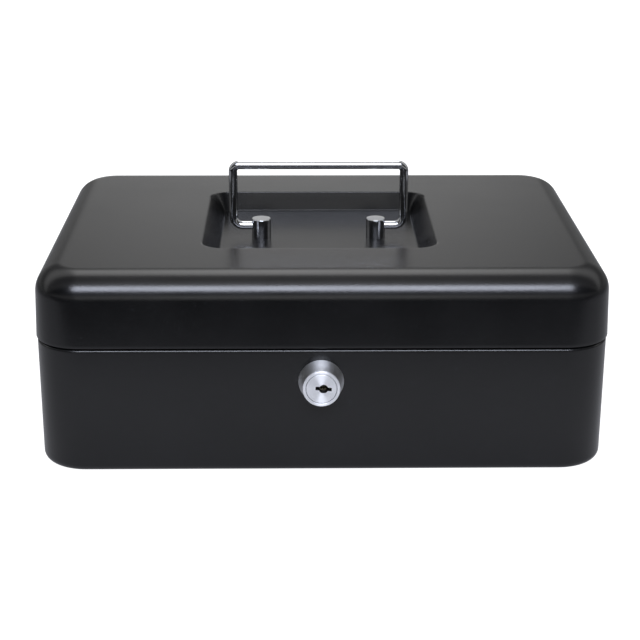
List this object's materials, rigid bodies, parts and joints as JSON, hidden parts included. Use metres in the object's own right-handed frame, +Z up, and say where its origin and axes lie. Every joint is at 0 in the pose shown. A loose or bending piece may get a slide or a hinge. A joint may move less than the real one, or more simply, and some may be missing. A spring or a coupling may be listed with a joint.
{
  "type": "cash box",
  "caption": "Black steel cash box with rounded corners, a hinged lid, a recessed folding wire handle, a front key lock and a lift-out coin tray.",
  "frame": {"origin": "centre of the flat underside of the base, with the box closed", "axes": "+Z up, -Y towards the lock and the user, +X to the user's right, along the box's long side"},
  "size_m": [0.25, 0.1898, 0.1178],
  "materials": {
    "black_powder_coat": "satin black powder coat with a very fine grain",
    "chrome_plate": "bright chrome plate with light handling marks",
    "plug_nickel": "satin nickel plate, lightly brushed",
    "zinc_steel": "bright zinc-plated pressed steel",
    "wafer_brass": "plain brass stampings",
    "tray_plastic": "moulded black plastic, finely textured"
  },
  "bodies": {
    "base": {"base_shell": "black_powder_coat", "tray_support_left": "black_powder_coat", "tray_support_right": "black_powder_coat", "lock_barrel": "plug_nickel", "lock_washer": "zinc_steel", "lock_nut": "zinc_steel", "hinge_base_leaf_left": "zinc_steel", "hinge_base_leaf_right": "zinc_steel", "hinge_pin_left": "zinc_steel", "hinge_pin_right": "zinc_steel"},
    "lock": {"lock_plug": "plug_nickel", "lock_wafers": "wafer_brass", "lock_cam": "zinc_steel", "cam_screw": "zinc_steel"},
    "lid": {"lid_shell": "black_powder_coat", "strike_plate": "zinc_steel", "hinge_lid_leaf_left": "zinc_steel", "hinge_lid_leaf_right": "zinc_steel", "handle_post_left": "chrome_plate", "handle_post_right": "chrome_plate", "post_washers": "zinc_steel", "post_screws": "zinc_steel"},
    "handle": {"handle_bail": "chrome_plate"},
    "tray": {"coin_tray": "tray_plastic"}
  },
  "joints": [
    {"name": "lid_hinge", "type": "hinge", "parent": "base", "child": "lid", "pos_m": [0, 0.0889, 0.057], "axis": [-1, 0, 0], "range_deg": [0, 95]},
    {"name": "handle_pivot", "type": "hinge", "parent": "lid", "child": "handle", "pos_m": [-0.0009, -0.0016, 0.0866], "axis": [1, 0, 0], "range_deg": [-97, 97]},
    {"name": "lock_turn", "type": "hinge", "parent": "base", "child": "lock", "pos_m": [-0.0009, -0.095, 0.0426], "axis": [0, 1, 0], "range_deg": [0, 90]},
    {"name": "tray_lift", "type": "slide", "parent": "base", "child": "tray", "axis": [0, 0, 1], "range_m": [0, 0.018]}
  ]
}
